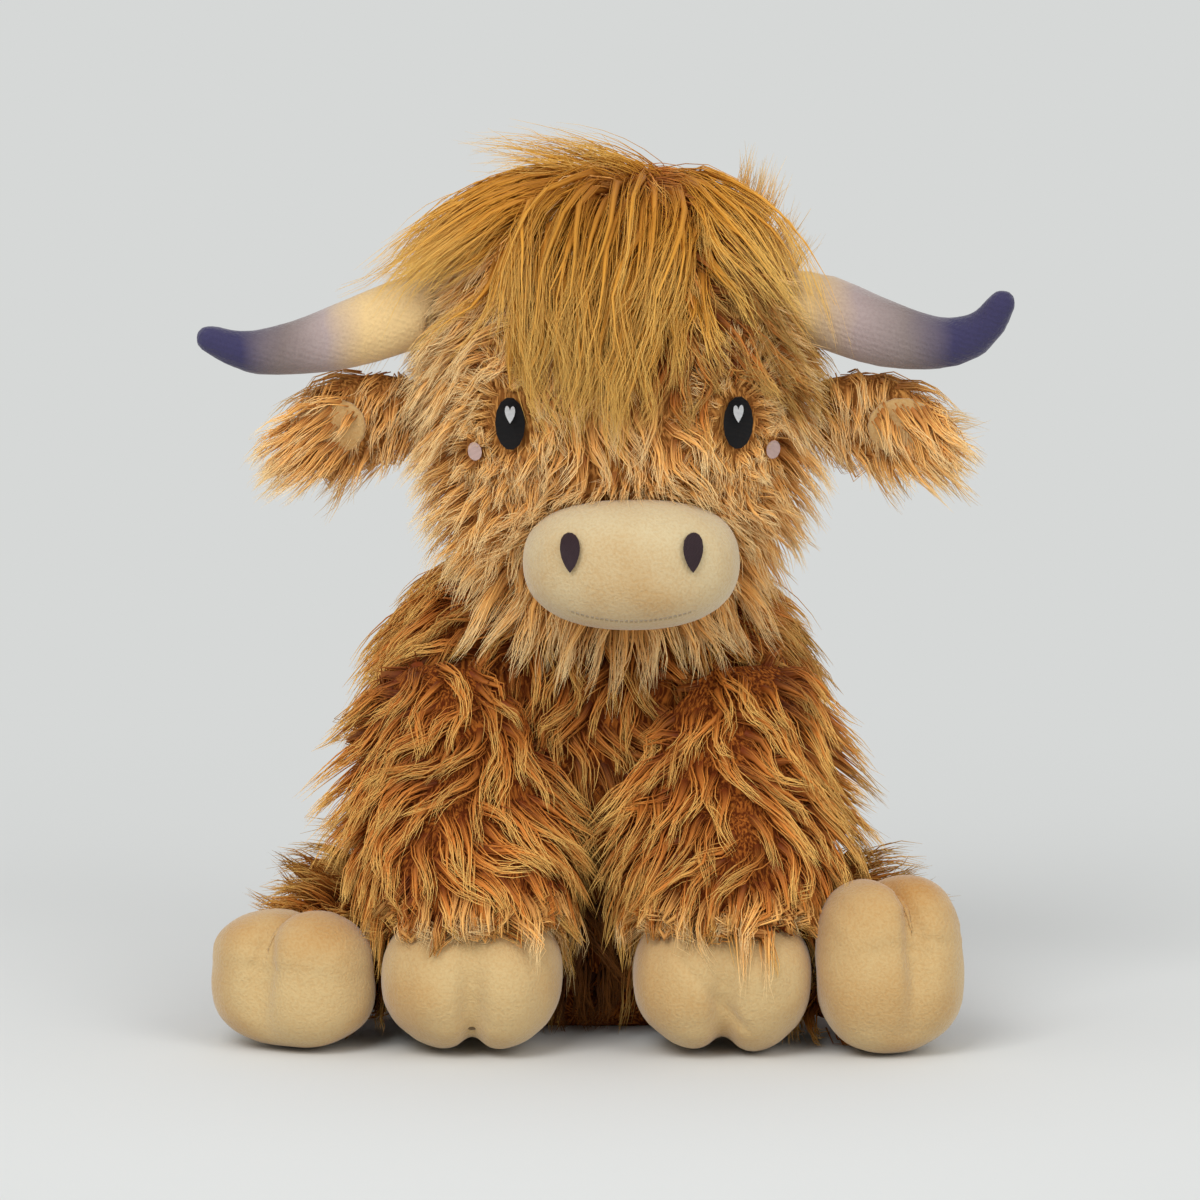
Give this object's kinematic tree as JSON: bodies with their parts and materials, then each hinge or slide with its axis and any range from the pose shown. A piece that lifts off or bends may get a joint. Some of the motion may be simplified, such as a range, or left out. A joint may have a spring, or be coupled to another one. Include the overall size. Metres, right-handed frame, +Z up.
{
  "type": "plush toy",
  "caption": "Seated plush cow in long wavy pile, with a swept golden forelock, curved horns, hanging ears, a cream muzzle and cloven cream feet.",
  "frame": {"origin": "on the floor, under the middle of the whole toy", "axes": "+Z up, the face looks along -Y, and +X is to the right as seen from the front"},
  "size_m": [0.29, 0.2316, 0.3186],
  "materials": {
    "long_pile_rust": "long wavy rust brown faux fur",
    "long_pile_tan": "long wavy tan faux fur",
    "long_pile_gold": "long combed golden faux fur",
    "short_pile_cream": "short cream pile",
    "short_pile_horn": "short pile shaded from cream to dark indigo",
    "thread_black": "satin stitch",
    "thread_white": "satin stitch",
    "thread_pink": "satin stitch",
    "thread_brown": "satin stitch",
    "fibre_filling": "loose polyester fibre",
    "pellet_bag": "plastic pellets in a cloth bag"
  },
  "bodies": {
    "torso": {"torso_cover": "long_pile_rust", "torso_filling": "fibre_filling", "seat_panel": "long_pile_rust", "bean_bag": "pellet_bag"},
    "head": {"head_cover": "long_pile_tan", "head_filling": "fibre_filling", "muzzle": "short_pile_cream", "forelock": "long_pile_gold", "eye_left": "thread_black", "eye_glint_left": "thread_white", "cheek_left": "thread_pink", "nostril_left": "thread_brown", "horn_left": "short_pile_horn", "eye_right": "thread_black", "eye_glint_right": "thread_white", "cheek_right": "thread_pink", "nostril_right": "thread_brown", "horn_right": "short_pile_horn"},
    "tail": {"tail": "long_pile_rust", "tail_tuft": "long_pile_gold"},
    "ear_left": {"ear_left": "long_pile_tan", "ear_lining_left": "short_pile_cream"},
    "front_leg_left": {"front_leg_left": "long_pile_rust", "front_hoof_left": "short_pile_cream"},
    "hind_leg_left": {"hind_leg_left": "long_pile_rust", "hind_hoof_left": "short_pile_cream"},
    "ear_right": {"ear_right": "long_pile_tan", "ear_lining_right": "short_pile_cream"},
    "front_leg_right": {"front_leg_right": "long_pile_rust", "front_hoof_right": "short_pile_cream"},
    "hind_leg_right": {"hind_leg_right": "long_pile_rust", "hind_hoof_right": "short_pile_cream"}
  },
  "joints": [
    {"name": "head_nod", "type": "hinge", "parent": "torso", "child": "head", "pos_m": [-0.00398, -0.01258, 0.17384], "axis": [1, 0, 0], "range_deg": [-6, 8], "stiffness_Nm_per_rad": 1, "springref_deg": -2.41},
    {"name": "front_leg_left_swing", "type": "hinge", "parent": "torso", "child": "front_leg_left", "pos_m": [-0.04558, -0.0481, 0.12997], "axis": [-1, 0, 0], "range_deg": [0, 35]},
    {"name": "hind_leg_left_splay", "type": "hinge", "parent": "torso", "child": "hind_leg_left", "pos_m": [-0.07966, 0.00853, 0.03918], "axis": [0, 0, -1], "range_deg": [0, 15], "stiffness_Nm_per_rad": 0.05},
    {"name": "ear_left_flap", "type": "hinge", "parent": "head", "child": "ear_left", "pos_m": [-0.06358, -0.02875, 0.22411], "axis": [0, 0, -1], "range_deg": [-15, 15], "stiffness_Nm_per_rad": 0.024},
    {"name": "front_leg_right_swing", "type": "hinge", "parent": "torso", "child": "front_leg_right", "pos_m": [0.03762, -0.0481, 0.12997], "axis": [-1, 0, 0], "range_deg": [0, 35]},
    {"name": "hind_leg_right_splay", "type": "hinge", "parent": "torso", "child": "hind_leg_right", "pos_m": [0.0717, 0.00853, 0.03918], "axis": [0, 0, 1], "range_deg": [0, 15], "stiffness_Nm_per_rad": 0.05},
    {"name": "ear_right_flap", "type": "hinge", "parent": "head", "child": "ear_right", "pos_m": [0.07161, -0.02875, 0.22411], "axis": [0, 0, 1], "range_deg": [-15, 15], "stiffness_Nm_per_rad": 0.024},
    {"name": "tail_wag", "type": "hinge", "parent": "torso", "child": "tail", "pos_m": [-0.00398, 0.06909, 0.062], "axis": [0, 1, 0], "range_deg": [-25, 25], "stiffness_Nm_per_rad": 0.02}
  ]
}
